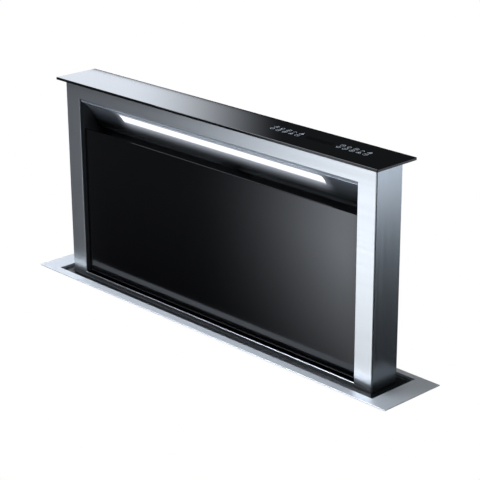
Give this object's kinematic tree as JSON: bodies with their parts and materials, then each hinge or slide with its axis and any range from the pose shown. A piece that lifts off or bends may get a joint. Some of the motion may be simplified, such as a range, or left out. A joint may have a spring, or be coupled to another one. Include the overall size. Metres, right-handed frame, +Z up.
{
  "type": "downdraft vent",
  "caption": "Worktop downdraft vent: a stainless tower with a black glass front and lid rises on screws out of a sheet-metal housing with its blower, filters and duct outlet.",
  "frame": {"origin": "the worktop's surface, in the middle of the tower: the underside of the flange's gasket", "axes": "+Z up, the way the tower rises; +X to the right as seen from the hob; the glass front faces -Y"},
  "size_m": [0.9, 0.2943, 1.0759],
  "materials": {
    "brushed_stainless": "brushed, long straight grain",
    "polished_stainless": "mirror polished",
    "galvanised_steel": "galvanised sheet, matt grey",
    "anodised_aluminium": "satin anodised",
    "black_glass": "opaque black, polished",
    "black_rubber": "matt",
    "black_plastic": "moulded, fine texture",
    "white_diffuser": "opal, lit from behind",
    "circuit_board": "green solder mask",
    "black_paint": "black powder coat",
    "filter_aluminium": "expanded mesh in a bright frame",
    "white_acetal": "moulded, waxy",
    "black_enamel": "black enamel, high gloss"
  },
  "bodies": {
    "housing": {"worktop_flange": "brushed_stainless", "worktop_gasket": "black_rubber", "lid_recess_tray": "black_enamel", "tower_wiper_seal": "black_rubber", "housing_front": "galvanised_steel", "housing_rear": "galvanised_steel", "housing_base": "galvanised_steel", "housing_left_side": "galvanised_steel", "housing_right_side": "galvanised_steel", "foot_bracket_left": "galvanised_steel", "foot_bracket_right": "galvanised_steel", "guide_rail_left": "anodised_aluminium", "guide_rail_right": "anodised_aluminium", "upper_bearing_left": "black_plastic", "upper_bearing_right": "black_plastic", "lower_bearing_right": "black_plastic", "lift_gearmotor": "black_paint", "drive_belt": "black_rubber", "blower_volute": "black_plastic", "blower_casing": "galvanised_steel", "blower_motor": "black_paint", "outlet_collar": "galvanised_steel", "flap_pin": "polished_stainless", "electronics_box": "galvanised_steel", "power_board": "circuit_board", "electronics_cover": "galvanised_steel", "supply_inlet": "black_plastic"},
    "tower": {"tower_front_frame": "brushed_stainless", "tower_left_cheek": "brushed_stainless", "tower_left_liner": "black_paint", "tower_right_cheek": "brushed_stainless", "tower_right_liner": "black_paint", "tower_back_panel": "brushed_stainless", "tower_base_ring": "galvanised_steel", "tower_top_plate": "galvanised_steel", "touch_board": "circuit_board", "lid_glass": "black_glass", "light_reflector": "anodised_aluminium", "light_diffuser": "white_diffuser", "light_board": "circuit_board", "grease_filter_left": "filter_aluminium", "grease_filter_right": "filter_aluminium", "filter_rail_lower": "galvanised_steel", "filter_rail_upper": "galvanised_steel", "panel_catch": "black_plastic", "carriage_left": "galvanised_steel", "lift_slider_left": "white_acetal", "carriage_right": "galvanised_steel", "lift_slider_right": "white_acetal"},
    "glass_front": {"glass_panel": "black_glass", "panel_carrier": "black_plastic", "panel_hinge_rod": "polished_stainless"},
    "screw_left": {"lift_screw_left": "polished_stainless", "screw_pulley_left": "anodised_aluminium"},
    "screw_right": {"lift_screw_right": "polished_stainless", "screw_pulley_right": "anodised_aluminium"},
    "impeller": {"blower_impeller": "black_plastic"},
    "flap_front": {"outlet_flap_front": "anodised_aluminium"},
    "flap_rear": {"outlet_flap_rear": "anodised_aluminium"}
  },
  "joints": [
    {"name": "tower_lift", "type": "slide", "parent": "housing", "child": "tower", "axis": [0, 0, 1], "range_m": [-0.3806, 0]},
    {"name": "panel_tilt", "type": "hinge", "parent": "tower", "child": "glass_front", "pos_m": [0, -0.0161, 0.013], "axis": [1, 0, 0], "range_deg": [0, 35]},
    {"name": "screw_left_turn", "type": "hinge", "parent": "housing", "child": "screw_left", "pos_m": [-0.4075, 0, -0.4], "axis": [0, 0, 1], "range_deg": [0, 13702]},
    {"name": "screw_right_turn", "type": "hinge", "parent": "housing", "child": "screw_right", "pos_m": [0.4075, 0, -0.4], "axis": [0, 0, 1], "range_deg": [0, 13702]},
    {"name": "impeller_spin", "type": "hinge", "parent": "housing", "child": "impeller", "pos_m": [0.055, -0.1, -0.549], "axis": [0, -1, 0], "continuous": true},
    {"name": "flap_front_swing", "type": "hinge", "parent": "housing", "child": "flap_front", "pos_m": [-0.235, -0.1398, -0.485], "axis": [0, 0, -1], "range_deg": [0, 70], "stiffness_Nm_per_rad": 0.02},
    {"name": "flap_rear_swing", "type": "hinge", "parent": "housing", "child": "flap_rear", "pos_m": [-0.235, -0.1398, -0.485], "axis": [0, 0, 1], "range_deg": [0, 70], "stiffness_Nm_per_rad": 0.02}
  ],
  "couplings": [
    {"joint": "screw_left_turn", "follows": "tower_lift", "rad_per_m": -628.32},
    {"joint": "screw_right_turn", "follows": "tower_lift", "rad_per_m": -628.32}
  ]
}
